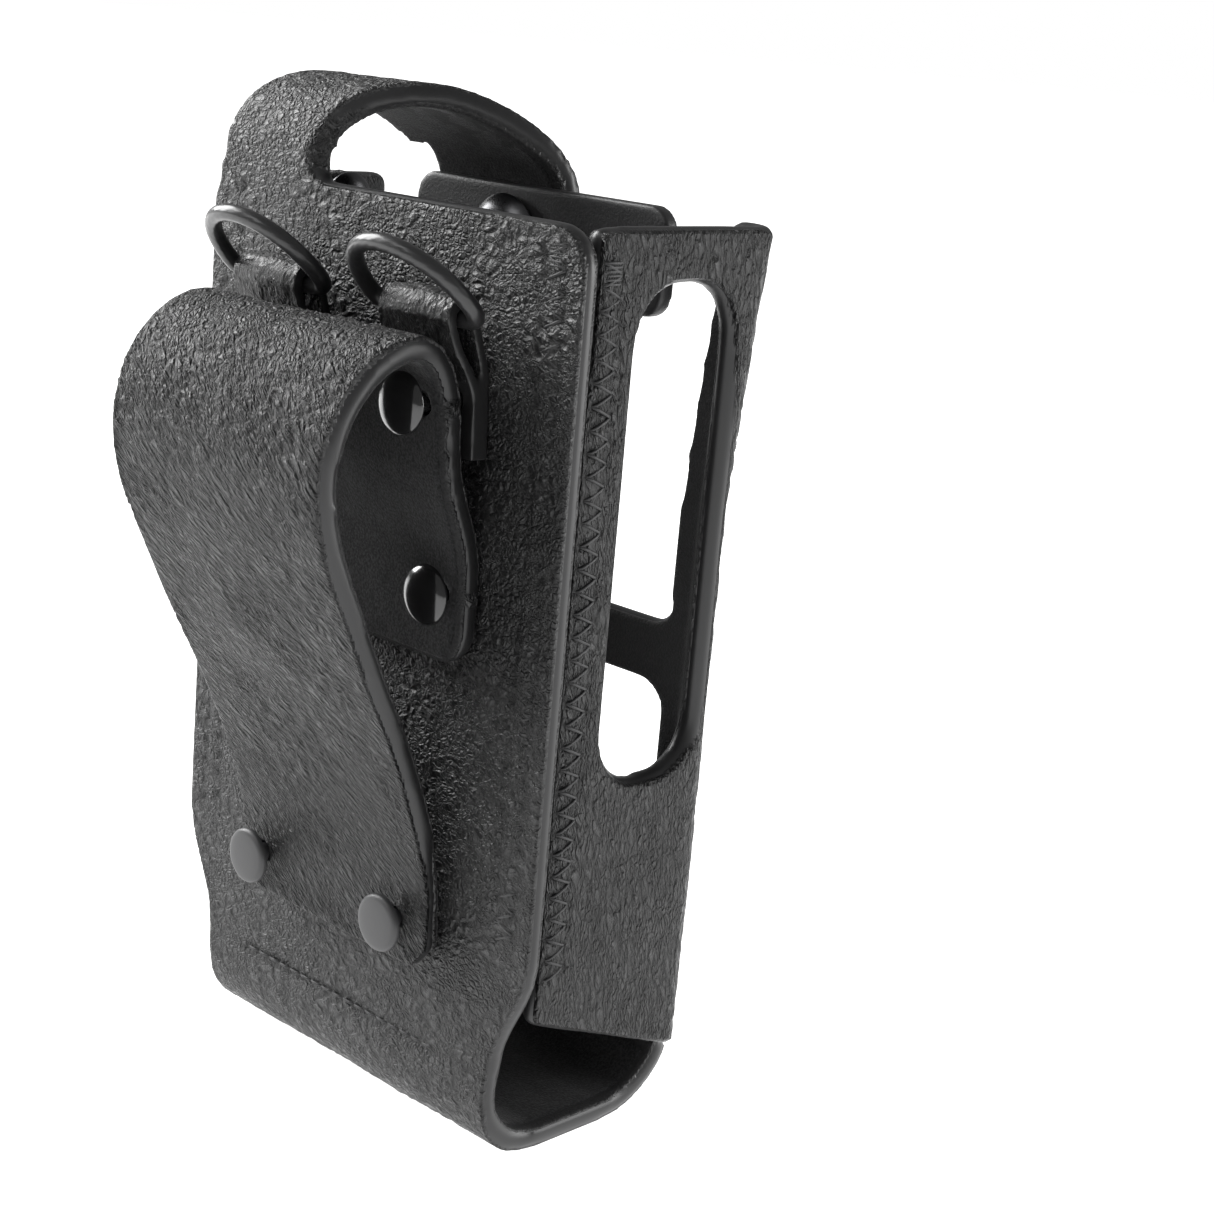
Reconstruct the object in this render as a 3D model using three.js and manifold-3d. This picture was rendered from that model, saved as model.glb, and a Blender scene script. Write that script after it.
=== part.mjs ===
// Leather carry case for a hand-held radio: an open holster with a riveted belt loop,
// two swinging D-rings and a snapped strap over the top.
// Millimetres. +Z up, +Y the back with the belt loop, -X the side with the long slot.
// The origin is under the middle of the foot's flat face, midway between the sides.
import * as THREE from "three";
import { mergeVertices } from "three/addons/utils/BufferGeometryUtils.js";
import Module from "manifold-3d";

const wasm = await Module();
wasm.setup();

// ---- Driving dimensions ----
// Depths are given from the back wall's grain face. The whole is then moved by FOOT_TO_BACK.
const FOOT_TO_BACK = 18; // from the middle of the foot to the back wall's grain face
const CLEAR = 0.3; // glued or stitched faces stand this far apart
const LEATHER = 2.4;
const FELT = 1.0;
const LINING_FACE = LEATHER + CLEAR + FELT; // how far the inner felt face lies from the grain

const PANEL_HALF = 39.3; // back wall, half its width
const PANEL_TOP = 133.5;
const FOOT_HALF = 32.8; // the wall narrows to this below the side walls
const FOOT_DEPTH = 38.8; // from the back wall to the front seam
const SHOULDER_Z = 34; // where the narrowing starts
const TAPER_Z = 14; // and where it ends

const SIDE_FACE = 37.1; // outer face of a side wall
const FRONT_FACE = 36.5; // outer face of the front, below the flare
const FLARE_Z = 92; // above this the front leans outwards
const FLARE = 4.5; // by this much at the top
const CORNER_R = 4;
const SIDE_TOP = 133.2;
const STILE_EDGE = 29.3; // inner edge of a front stile
const CROSSBAR = [66, 75]; // heights of its edges
const FRONT_PANEL_TOP = 30;
const FRONT_SEAM_Z = 9.6;
const SIDE_FOOT_BACK = 24.5; // the side wall's lower edge slopes down to the front
const SLOT = { back: -13, front: -32.6, low: 56, high: 125.8 };
const PORT = { back: -12, front: -30, low: 66, high: 106 };
const TAB_FRONT = -29; // the closed side ends here at the top, as a tab
const TAB_BOTTOM = 116;
const SIDE_RIVET = { y: -20, z: 128.6 }; // in the tab

const STRAP_PATH = [
  [-0.03, 130], [-0.1, 135], [-0.9, 140], [-4, 144.8], [-10, 147.7], [-17.4, 147.5],
  [-24.6, 144.3], [-30, 139.6], [-32.9, 133.6], [-33.4, 126], [-33.4, 113.5],
];
const STRAP_ROOT_EDGES = [17.9, 37.9];
const STRAP_BAND_EDGES = [-6.3, 23.2]; // across the strap where it passes the band
const STRAP_SLOT_EDGE = [[12.6, -5.5], [8.2, -10.5], [3.6, -17.5], [-0.8, -24], [-4.2, -29.5]];
const STRAP_CLOSED_EDGE = [[25.4, -31], [28.8, -24], [31.6, -15], [34.4, -7]];
const STRAP_STATIONS = 36;
const STRAP_SPLIT = 9; // the station where the fixed root ends and the strap begins to bend
const BAND = { face: -26, left: 23.4, right: -28.4, top: 134.6, low: 119.4 };
const STEM_HALF = 8.5;
const SNAP = { x: 3, z: 126.4 };

const LOOP_LEATHER = 2.2;
const LOOP_FELT = 0.8;
const LOOP_PATH = [
  [3.6, 27.2], [3.7, 34], [4.5, 41], [7.4, 50], [12.3, 61.5], [17.4, 71], [22, 80.5],
  [26.6, 90.5], [28.4, 99], [27.5, 106], [24.6, 111.6], [20, 115.9], [14.2, 118],
  [10.6, 117.2], [8, 115], [6.2, 111], [5.4, 106.5], [5.1, 102.5], [4.4, 98.5],
  [2.4, 93.5], [0.9, 89.5], [0.32, 85.5], [0.3, 79], [0.3, 73],
];
const LOOP_CENTRE = -1.2;
const LOOP_FOOT_HALF = 21;
const LOOP_ROLL_HALF = 23.2;
const LOOP_END_HALF = 23.7;
const LOOP_END_Z = 73;
const LOOP_END_R = 5; // corners of the inner run's end

const UPPER_RIVET = { x: 20, z: 108.6, face: 10.8 };
const LOWER_RIVET = { x: 20, z: 82.3, face: 3.9 };
const FOOT_RIVET = { x: 15.2, z: 33.4, face: 4.1 };
const RIVET_SHANK_R = 1.4;
const RIVET_CAP_R = 4.2;
const RIVET_BACK_R = 3.4;

const RING_BAR = { y: 4.9, z: 119.6 };
const RING_WIRE_R = 1.25;
const RING_HALF = 10.3;
const RING_HEIGHT = 13;
const RING_LEAN = THREE.MathUtils.degToRad(45);
const RING_X = { left: 15.2, right: -16 };
const TAB_X = 16;
const TAB_TOP_HALF = 6.8;
const TAB_FOOT_HALF = 8.2;
const TAB_FOOT_Z = 101;
const TAB_LEATHER = 1.3;

const THREAD_R = 0.3;
const ZIGZAG_PITCH = 3.1;
const ZIGZAG_WIDTH = 3.4;
const ZIGZAG_THREAD = 0.7; // half the thread's width, measured across the row

// ---- Materials ----
const leather = new THREE.MeshStandardMaterial({ color: 0x2b2c2e, roughness: 0.6 });
const edgePaint = new THREE.MeshStandardMaterial({ color: 0x1d1e20, roughness: 0.45 });
const felt = new THREE.MeshStandardMaterial({ color: 0x17181a, roughness: 0.95 });
const mattCap = new THREE.MeshStandardMaterial({ color: 0x26272a, roughness: 0.55 });
const glossCap = new THREE.MeshStandardMaterial({ color: 0x0c0c0d, roughness: 0.2 });
const steel = new THREE.MeshStandardMaterial({ color: 0x8e9093, roughness: 0.3, metalness: 1 });
const ringBlack = new THREE.MeshStandardMaterial({ color: 0x222325, roughness: 0.4 });
const thread = new THREE.MeshStandardMaterial({ color: 0x101011, roughness: 0.8 });

// ---- Shape tools ----
function solid(geometry) {
  const bare = geometry.clone();
  bare.deleteAttribute("normal");
  bare.deleteAttribute("uv");
  const merged = mergeVertices(bare, 1e-4);
  return new wasm.Manifold(
    new wasm.Mesh({
      numProp: 3,
      vertProperties: merged.attributes.position.array,
      triVerts: new Uint32Array(merged.index.array),
    }),
  );
}

function geometryOf(manifold) {
  const mesh = manifold.getMesh();
  const geometry = new THREE.BufferGeometry();
  geometry.setAttribute("position", new THREE.BufferAttribute(mesh.vertProperties, 3));
  geometry.setIndex(new THREE.BufferAttribute(mesh.triVerts, 1));
  geometry.computeVertexNormals();
  return geometry;
}

// A flat outline pushed along an axis. It is drawn in the other two axes, in X, Y, Z order.
function prism(axis, outline, low, high, steps = 1) {
  const shape = outline instanceof THREE.Shape ? outline : new THREE.Shape(outline);
  const options = { depth: high - low, bevelEnabled: false, curveSegments: 5, steps };
  const geometry = new THREE.ExtrudeGeometry(shape, options);
  const turn = new THREE.Matrix4();
  if (axis === "x") {
    turn.set(0, 0, 1, low, 1, 0, 0, 0, 0, 1, 0, 0, 0, 0, 0, 1);
  } else if (axis === "y") {
    turn.set(1, 0, 0, 0, 0, 0, -1, high, 0, 1, 0, 0, 0, 0, 0, 1);
  } else {
    turn.makeTranslation(0, 0, low);
  }
  return geometry.applyMatrix4(turn);
}

function points(list) {
  return list.map(([a, b]) => new THREE.Vector2(a, b));
}

// A rectangle with rounded corners.
function rounded(lowA, lowB, highA, highB, radius) {
  const shape = new THREE.Shape();
  shape.moveTo(lowA + radius, lowB);
  shape.absarc(highA - radius, lowB + radius, radius, -Math.PI / 2, 0);
  shape.absarc(highA - radius, highB - radius, radius, 0, Math.PI / 2);
  shape.absarc(lowA + radius, highB - radius, radius, Math.PI / 2, Math.PI);
  shape.absarc(lowA + radius, lowB + radius, radius, Math.PI, Math.PI * 1.5);
  return shape;
}

function smooth(list, count) {
  return new THREE.SplineCurve(points(list)).getSpacedPoints(count);
}

// The same path moved sideways, to its left for a positive distance.
function offset(path, distance) {
  return path.map((point, i) => {
    const before = path[Math.max(i - 1, 0)];
    const after = path[Math.min(i + 1, path.length - 1)];
    const along = after.clone().sub(before).normalize();
    return new THREE.Vector2(point.x - along.y * distance, point.y + along.x * distance);
  });
}

// A strip of sheet whose side view is a path in Y and Z. edges(share) gives its two X edges.
// first and last are the stations of the path where the strip begins and ends.
function strip(path, thickness, edges, first = 0, last = path.length - 1) {
  const far = offset(path, thickness);
  const spots = [];
  for (let i = first; i <= last; i += 1) {
    const [low, high] = edges(i / (path.length - 1));
    spots.push(low, path[i].x, path[i].y, high, path[i].x, path[i].y);
    spots.push(high, far[i].x, far[i].y, low, far[i].x, far[i].y);
  }
  const faces = [0, 1, 2, 0, 2, 3];
  for (let i = 0; i < last - first; i += 1) {
    for (let k = 0; k < 4; k += 1) {
      const a = 4 * i + k;
      const b = 4 * i + ((k + 1) % 4);
      faces.push(a, a + 4, b, b, a + 4, b + 4);
    }
  }
  const end = 4 * (last - first);
  faces.push(end, end + 2, end + 1, end, end + 3, end + 2);
  if (thickness < 0) faces.reverse();
  const geometry = new THREE.BufferGeometry();
  geometry.setAttribute("position", new THREE.Float32BufferAttribute(spots, 3));
  geometry.setIndex(faces);
  return geometry;
}

function drill(x, z, radius, low = -60, high = 14) {
  const cylinder = new THREE.CylinderGeometry(radius, radius, high - low, 16);
  return solid(cylinder.translate(x, (low + high) / 2, z));
}

// A turned piece whose axis runs along Y. Its profile gives radius and Y.
function turned(profile, x, z, segments = 14) {
  const geometry = new THREE.LatheGeometry(points(profile), segments);
  return geometry.translate(x, 0, z);
}

const rivets = [];
for (const [row, spot] of [["upper", UPPER_RIVET], ["lower", LOWER_RIVET]]) {
  rivets.push({ ...spot, name: `loop_rivet_${row}_left`, x: 2 * LOOP_CENTRE + spot.x, domed: true });
  rivets.push({ ...spot, name: `loop_rivet_${row}_right`, x: -spot.x, domed: true });
}
rivets.push({ ...FOOT_RIVET, name: "foot_rivet_left", domed: false });
rivets.push({ ...FOOT_RIVET, name: "foot_rivet_right", x: -FOOT_RIVET.x, domed: false });

function drillForRivets(shape, radius) {
  return rivets.reduce((left, { x, z }) => left.subtract(drill(x, z, radius)), shape);
}

// ---- Back wall, foot and their lining: one wrap that hangs in a shallow U ----
const WRAP_PATH = smooth(
  [[-0.03, 18], [-0.03, 9.5], [-1.6, 4.6], [-5.6, 1.2], [-11, 0]],
  9,
).concat(smooth([[-25, 0], [-30.4, 0.9], [-35, 3.6], [-37.8, 6.6], [-FOOT_DEPTH, 9.3]], 8));

function wallOutline(inset) {
  const half = PANEL_HALF - inset;
  const foot = FOOT_HALF - inset;
  const top = PANEL_TOP - inset;
  const shape = new THREE.Shape();
  shape.moveTo(-foot, TAPER_Z);
  shape.bezierCurveTo(-foot, 22, -half, 26, -half, SHOULDER_Z);
  shape.lineTo(-half, top - 6);
  shape.absarc(-half + 6, top - 6, 6, Math.PI, Math.PI / 2, true);
  shape.lineTo(half - 6, top);
  shape.absarc(half - 6, top - 6, 6, Math.PI / 2, 0, true);
  shape.lineTo(half, SHOULDER_Z);
  shape.bezierCurveTo(half, 26, foot, 22, foot, TAPER_Z);
  return shape;
}

// An extra station just past the split leaves a hairline gap where the strap flexes.
function strapPath() {
  const path = smooth(STRAP_PATH, STRAP_STATIONS);
  const spacing = path[STRAP_SPLIT].distanceTo(path[STRAP_SPLIT + 1]);
  const start = path[STRAP_SPLIT].clone().lerp(path[STRAP_SPLIT + 1], (CLEAR + 0.1) / spacing);
  path.splice(STRAP_SPLIT + 1, 0, start);
  return path;
}

const acrossAll = () => [-50, 60];

// Plan outline of the strap: it leans across the top from the left end towards the middle.
function strapPlan(inset) {
  const [rootLow, rootHigh] = STRAP_ROOT_EDGES;
  const [bandLow, bandHigh] = STRAP_BAND_EDGES;
  const slotEdge = STRAP_SLOT_EDGE.map(([x, y]) => [x + inset, y]);
  const closedEdge = STRAP_CLOSED_EDGE.map(([x, y]) => [x - inset, y]);
  const shape = new THREE.Shape();
  shape.moveTo(rootLow + inset, 6);
  shape.lineTo(rootLow + inset, 0);
  shape.splineThru(points([...slotEdge, [bandLow + inset, -35]]));
  shape.lineTo(bandLow + inset, -42);
  shape.lineTo(bandHigh - inset, -42);
  shape.lineTo(bandHigh - inset, -36);
  shape.splineThru(points([...closedEdge, [rootHigh - inset, 0]]));
  shape.lineTo(rootHigh - inset, 6);
  return solid(prism("z", shape, 90, 160));
}

function strapFrontEnd(inset) {
  const [low, high] = STRAP_BAND_EDGES;
  const outline = rounded(low + inset, 113.6 + inset, high - inset, 200, 10);
  return solid(prism("y", outline, -45, -26)).add(
    solid(prism("x", rounded(-26.5, 120, 10, 160, 1), -10, 50)),
  );
}

function backPanel() {
  const wall = solid(prism("y", wallOutline(0), -LEATHER, 0));
  const foot = solid(strip(WRAP_PATH, -LEATHER, () => [-FOOT_HALF, FOOT_HALF]));
  const root = solid(strip(strapPath(), LEATHER, acrossAll, 0, STRAP_SPLIT)).intersect(strapPlan(0));
  const [rootLow, rootHigh] = STRAP_ROOT_EDGES;
  const fillet = new THREE.Shape();
  fillet.moveTo(rootHigh, 124);
  fillet.lineTo(rootHigh, 134.6);
  fillet.lineTo(rootLow - 1.6, 134.6);
  fillet.quadraticCurveTo(rootLow - 2.6, PANEL_TOP, rootLow - 5, PANEL_TOP);
  fillet.lineTo(rootLow - 5, 124);
  const web = solid(prism("y", fillet, -LEATHER, 0));
  return drillForRivets(wall.add(foot).add(root).add(web), RIVET_SHANK_R + 0.35);
}

function backLining() {
  const inset = 1.6;
  const wall = solid(prism("y", wallOutline(inset), -LINING_FACE, -LEATHER - CLEAR));
  const path = offset(WRAP_PATH, -LEATHER - CLEAR).slice(0, -1);
  const foot = solid(strip(path, -FELT, () => [-FOOT_HALF + inset, FOOT_HALF - inset]));
  return drillForRivets(wall.add(foot), RIVET_BACK_R + CLEAR);
}

// ---- Front wrap: side walls, stiles, crossbar and front panel, one cut of leather ----
function flared(geometry) {
  const spots = geometry.attributes.position;
  for (let i = 0; i < spots.count; i += 1) {
    const rise = Math.max(0, (spots.getZ(i) - FLARE_Z) / (SIDE_TOP - FLARE_Z));
    const share = spots.getY(i) / -FRONT_FACE;
    spots.setY(i, spots.getY(i) - FLARE * rise ** 1.3 * share);
  }
  return geometry;
}

function frontWrap() {
  const back = -LINING_FACE - CLEAR;
  const plan = new THREE.Shape();
  const inner = SIDE_FACE - LEATHER;
  const innerFront = -FRONT_FACE + LEATHER;
  const innerR = CORNER_R - LEATHER;
  plan.moveTo(-SIDE_FACE, back);
  plan.lineTo(-SIDE_FACE, -FRONT_FACE + CORNER_R);
  plan.absarc(-SIDE_FACE + CORNER_R, -FRONT_FACE + CORNER_R, CORNER_R, Math.PI, Math.PI * 1.5);
  plan.lineTo(SIDE_FACE - CORNER_R, -FRONT_FACE);
  plan.absarc(SIDE_FACE - CORNER_R, -FRONT_FACE + CORNER_R, CORNER_R, -Math.PI / 2, 0);
  plan.lineTo(SIDE_FACE, back);
  plan.lineTo(inner, back);
  plan.lineTo(inner, innerFront + innerR);
  plan.absarc(inner - innerR, innerFront + innerR, innerR, 0, -Math.PI / 2, true);
  plan.lineTo(-inner + innerR, innerFront);
  plan.absarc(-inner + innerR, innerFront + innerR, innerR, Math.PI * 1.5, Math.PI, true);
  plan.lineTo(-inner, back);

  let shell = solid(flared(prism("z", plan, 0, SIDE_TOP, 10)));
  const belowSides = points([
    [0, -9], [0, SIDE_FOOT_BACK], [-36, FRONT_SEAM_Z + 1], [-50, FRONT_SEAM_Z + 1], [-50, -9],
  ]);
  shell = shell.subtract(solid(prism("x", belowSides, -50, 50)));

  const upper = rounded(-STILE_EDGE, CROSSBAR[1], STILE_EDGE, 200, 3);
  const lower = rounded(-STILE_EDGE, FRONT_PANEL_TOP, STILE_EDGE, CROSSBAR[0], 5);
  shell = shell.subtract(solid(prism("y", upper, -60, innerFront + 1)));
  shell = shell.subtract(solid(prism("y", lower, -60, innerFront + 1)));

  const slot = rounded(SLOT.front, SLOT.low, SLOT.back, SLOT.high, 8.6);
  shell = shell.subtract(solid(prism("x", slot, -50, -30)));
  const port = rounded(PORT.front, PORT.low, PORT.back, PORT.high, 7);
  shell = shell.subtract(solid(prism("x", port, 30, 50)));

  // The closed side's front top corner is cut down, which leaves a rounded tab behind it.
  const cutDown = rounded(-60, TAB_BOTTOM, TAB_FRONT, 200, 3);
  shell = shell.subtract(solid(prism("x", cutDown, 26, 60)));
  const tops = rounded(-43, -20, 2, SIDE_TOP, 3.4);
  shell = shell.intersect(solid(prism("x", tops, -60, 60)));
  shell = shell.subtract(drillAcross(SIDE_RIVET.y, SIDE_RIVET.z, RIVET_SHANK_R + 0.35));
  return shell;
}

// ---- Rivet in the tab of the closed side ----
function drillAcross(y, z, radius) {
  const cylinder = new THREE.CylinderGeometry(radius, radius, 20, 16);
  return solid(cylinder.rotateZ(Math.PI / 2).translate(SIDE_FACE, y, z));
}

function sideRivet() {
  const inside = SIDE_FACE - LEATHER - CLEAR;
  const outside = SIDE_FACE + CLEAR;
  const profile = [
    [0, inside - 2], [2.4, inside - 1.8], [3.9, inside - 1.1], [4.5, inside - 0.2], [4.3, inside],
    [RIVET_SHANK_R, inside], [RIVET_SHANK_R, outside], [RIVET_BACK_R, outside],
    [RIVET_BACK_R, outside + 0.6], [2.6, outside + 0.9], [0, outside + 0.9],
  ];
  const geometry = new THREE.LatheGeometry(points(profile), 16);
  return geometry.rotateZ(-Math.PI / 2).translate(0, SIDE_RIVET.y, SIDE_RIVET.z);
}

// ---- Front tee: a stem stitched behind the crossbar, with a cross band at its top ----
const TEE_PATH = [
  [-31.4, 67.2], [-31.4, 75], [-31.1, 84], [-29.8, 96], [-27.8, 108], [-26.4, 117],
  [BAND.face, 121], [BAND.face, BAND.top],
];

function frontTee() {
  const sheet = solid(strip(smooth(TEE_PATH, 18), LEATHER, acrossAll));
  const band = rounded(BAND.right, BAND.low, BAND.left, BAND.top, 3.5);
  const stem = new THREE.Shape();
  stem.moveTo(-STEM_HALF, 60);
  stem.lineTo(STEM_HALF, 60);
  stem.lineTo(STEM_HALF, 108);
  stem.quadraticCurveTo(STEM_HALF, BAND.low, STEM_HALF + 9, BAND.low + 0.4);
  stem.lineTo(-STEM_HALF - 9, BAND.low + 0.4);
  stem.quadraticCurveTo(-STEM_HALF, BAND.low, -STEM_HALF, 108);
  const outline = solid(prism("y", band, -60, 0)).add(solid(prism("y", stem, -60, 0)));
  return sheet.intersect(outline).subtract(drill(SNAP.x, SNAP.z, RIVET_SHANK_R + 0.35));
}

function teeSnapPost() {
  const face = BAND.face + CLEAR;
  const outer = BAND.face - LEATHER;
  return turned(
    [
      [0, outer - 2.6], [RIVET_SHANK_R, outer - 2.6], [RIVET_SHANK_R, face], [6.4, face],
      [6.8, face + 0.5], [6.5, face + 1.3], [5, face + 2.4], [2.6, face + 2.5], [2.2, face + 1.6],
      [0, face + 1.6],
    ],
    SNAP.x,
    SNAP.z,
    20,
  );
}

function teeSnapStud() {
  const outer = BAND.face - LEATHER - CLEAR;
  const bore = RIVET_SHANK_R + 0.3;
  return turned(
    [
      [bore, outer - 2.7], [2.1, outer - 2.7], [2.3, outer - 2.1], [2.1, outer - 0.6],
      [3.7, outer - 0.5], [3.8, outer], [bore, outer], [bore, outer - 2.7],
    ],
    SNAP.x,
    SNAP.z,
  );
}

// ---- Retaining strap ----
function strapSheet(depth, thickness, inset) {
  const path = offset(strapPath(), depth);
  const sheet = solid(strip(path, thickness, acrossAll, STRAP_SPLIT + 1));
  return sheet.intersect(strapPlan(inset)).intersect(strapFrontEnd(inset));
}

function retainingStrap() {
  return strapSheet(0, LEATHER, 0).subtract(drill(SNAP.x, SNAP.z, 5.2, -60, -28));
}

function strapLining() {
  const sheet = strapSheet(LEATHER + CLEAR, 0.8, 1.2);
  return sheet.subtract(drill(SNAP.x, SNAP.z, 5.4, -60, -28));
}

function strapSnapCap() {
  const face = -33.8;
  return turned(
    [
      [0, face - 2.2], [2.6, face - 2.1], [4.8, face - 1.5], [6.3, face - 0.5], [6.3, face],
      [4.7, face], [4.7, face + 0.8], [0, face + 0.8],
    ],
    SNAP.x,
    SNAP.z,
    20,
  );
}

function strapSnapSocket() {
  const back = -32.6;
  return turned(
    [[4.3, back], [4.9, back], [4.9, back + 1.6], [4.6, back + 2], [4.3, back + 1.7], [4.3, back]],
    SNAP.x,
    SNAP.z,
    20,
  );
}

// ---- Belt loop: inner run on the wall, roll at the top, outer run riveted at its foot ----
function loopHalf(share) {
  if (share < 0.55) return THREE.MathUtils.lerp(LOOP_FOOT_HALF, LOOP_ROLL_HALF, share / 0.55);
  return THREE.MathUtils.lerp(LOOP_ROLL_HALF, LOOP_END_HALF, (share - 0.55) / 0.45);
}

// What the rounded corners take off the end of the inner run.
function loopEndCorners(inset) {
  const half = LOOP_END_HALF - inset;
  const [low, high] = [LOOP_CENTRE - half, LOOP_CENTRE + half];
  const square = rounded(low - 2, LOOP_END_Z - 2, high + 2, LOOP_END_Z + LOOP_END_R, 0.5);
  const kept = rounded(low, LOOP_END_Z - 0.5, high, LOOP_END_Z + 30, LOOP_END_R);
  return solid(prism("y", square, -1, 5)).subtract(solid(prism("y", kept, -2, 6)));
}

function loopSheet(depth, thickness, inset, drillRadius) {
  const path = offset(smooth(LOOP_PATH, 44), depth);
  const edges = (share) => {
    const half = loopHalf(share) - inset;
    const corner = 3 * Math.max(0, Math.abs(share - 0.5) * 60 - 29) ** 2;
    const cut = share < 0.5 ? corner : 0;
    return [LOOP_CENTRE - half + cut, LOOP_CENTRE + half - cut];
  };
  const sheet = solid(strip(path, thickness, edges)).subtract(loopEndCorners(inset));
  return drillForRivets(sheet, drillRadius);
}

function beltLoop() {
  return loopSheet(0, LOOP_LEATHER, 0, RIVET_SHANK_R + 0.35);
}

function beltLoopLining() {
  return loopSheet(LOOP_LEATHER + CLEAR, LOOP_FELT, 1, RIVET_SHANK_R + 0.35);
}

function wallRivet({ x, z, face, domed }) {
  const back = -LEATHER - CLEAR;
  const cap = domed
    ? [[0, face + 1.9], [1.8, face + 1.75], [3.3, face + 1.1], [RIVET_CAP_R, face + 0.25], [4, face]]
    : [[0, face + 1.3], [3.4, face + 1.25], [4, face + 0.9], [RIVET_CAP_R, face + 0.3], [4, face]];
  const profile = cap.concat([
    [RIVET_SHANK_R, face], [RIVET_SHANK_R, back], [RIVET_BACK_R, back],
    [RIVET_BACK_R, back - 0.8], [2.4, back - 1.1], [0, back - 1.1],
  ]);
  return turned(profile.reverse(), x, z);
}

// ---- D-rings and the folded tabs that hold them ----
function ringTab(x) {
  const reach = RING_WIRE_R + 0.35 + TAB_LEATHER;
  const fold = [];
  for (let turn = 200; turn >= -20; turn -= 20) {
    const angle = THREE.MathUtils.degToRad(turn);
    fold.push([RING_BAR.y + reach * Math.cos(angle), RING_BAR.z + reach * Math.sin(angle)]);
  }
  const front = 2 * CLEAR + 2 * TAB_LEATHER;
  const legs = [[6.5, 115.6], [4.6, 112.6], [front, 109.4], [front, 105], [front, TAB_FOOT_Z]];
  const route = [[CLEAR, TAB_FOOT_Z], [CLEAR, 106], [0.4, 112], ...fold, ...legs];
  const edges = (share) => {
    const half = THREE.MathUtils.lerp(TAB_TOP_HALF, TAB_FOOT_HALF, Math.abs(2 * share - 1));
    return [x - half, x + half];
  };
  return drillForRivets(solid(strip(smooth(route, 32), -TAB_LEATHER, edges)), RIVET_SHANK_R + 0.35);
}

// The ring is drawn flat about its bar, then leaned back about the bar's line.
function dRing() {
  const bow = new THREE.CurvePath();
  const corner = 2.2;
  const top = RING_HEIGHT;
  const start = new THREE.Vector3(0, 0, 0);
  const lowRight = new THREE.Vector3(RING_HALF - corner, 0, 0);
  const highRight = new THREE.Vector3(RING_HALF, 0, corner);
  const highLeft = new THREE.Vector3(-RING_HALF, 0, corner);
  const lowLeft = new THREE.Vector3(-RING_HALF + corner, 0, 0);
  bow.add(new THREE.LineCurve3(start, lowRight));
  const outer = new THREE.Vector3(RING_HALF, 0, 0);
  bow.add(new THREE.QuadraticBezierCurve3(lowRight, outer, highRight));
  bow.add(
    new THREE.CubicBezierCurve3(
      highRight,
      new THREE.Vector3(RING_HALF * 0.98, 0, top * 1.28),
      new THREE.Vector3(-RING_HALF * 0.98, 0, top * 1.28),
      highLeft,
    ),
  );
  bow.add(new THREE.QuadraticBezierCurve3(highLeft, outer.clone().negate(), lowLeft));
  bow.add(new THREE.LineCurve3(lowLeft, start));
  const round = [];
  for (let i = 0; i < 30; i += 1) round.push(bow.getPointAt(i / 30));
  const route = new THREE.CatmullRomCurve3(round, true);
  const wire = new THREE.Shape().absarc(0, 0, RING_WIRE_R, 0, Math.PI * 2);
  return new THREE.ExtrudeGeometry(wire, { steps: 30, curveSegments: 4, extrudePath: route });
}

// ---- Threads ----
function cord(route, steps) {
  const section = new THREE.Shape().absarc(0, 0, THREAD_R, 0, Math.PI * 2);
  return new THREE.ExtrudeGeometry(section, { steps, curveSegments: 2, extrudePath: route });
}

// The face of a zigzag seam: a flat ribbon of thread that runs up along Z on a wall.
function zigzagRow(axis, centre, low, high, face) {
  const count = Math.round((high - low) / (ZIGZAG_PITCH / 2));
  const route = [];
  for (let i = 0; i <= count; i += 1) {
    const across = (i % 2 === 0 ? 1 : -1) * (ZIGZAG_WIDTH / 2);
    route.push([centre + across, THREE.MathUtils.lerp(low, high, i / count)]);
  }
  const near = offset(points(route), ZIGZAG_THREAD);
  const far = offset(points(route), -ZIGZAG_THREAD).reverse();
  return prism(axis, near.concat(far), face, face + 2 * THREAD_R);
}

function backRow(side) {
  return zigzagRow("y", side * 33.6, 36, 130, CLEAR);
}

function sideRow(side) {
  const face = side > 0 ? SIDE_FACE + CLEAR : -SIDE_FACE - CLEAR - 2 * THREAD_R;
  return zigzagRow("x", -7.4, 30, 128, face);
}

function straightRow(lowX, highX, y, z) {
  return cord(new THREE.LineCurve3(new THREE.Vector3(lowX, y, z), new THREE.Vector3(highX, y, z)), 2);
}

// ---- Assembly ----
const part = new THREE.Group();
part.name = "radio_carry_case";
const body = new THREE.Group();
body.position.y = FOOT_TO_BACK;
part.add(body);

function place(name, shape, material, parent = body) {
  const geometry = shape instanceof THREE.BufferGeometry ? shape : geometryOf(shape);
  const mesh = new THREE.Mesh(geometry, material);
  mesh.name = name;
  parent.add(mesh);
  return mesh;
}

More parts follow.
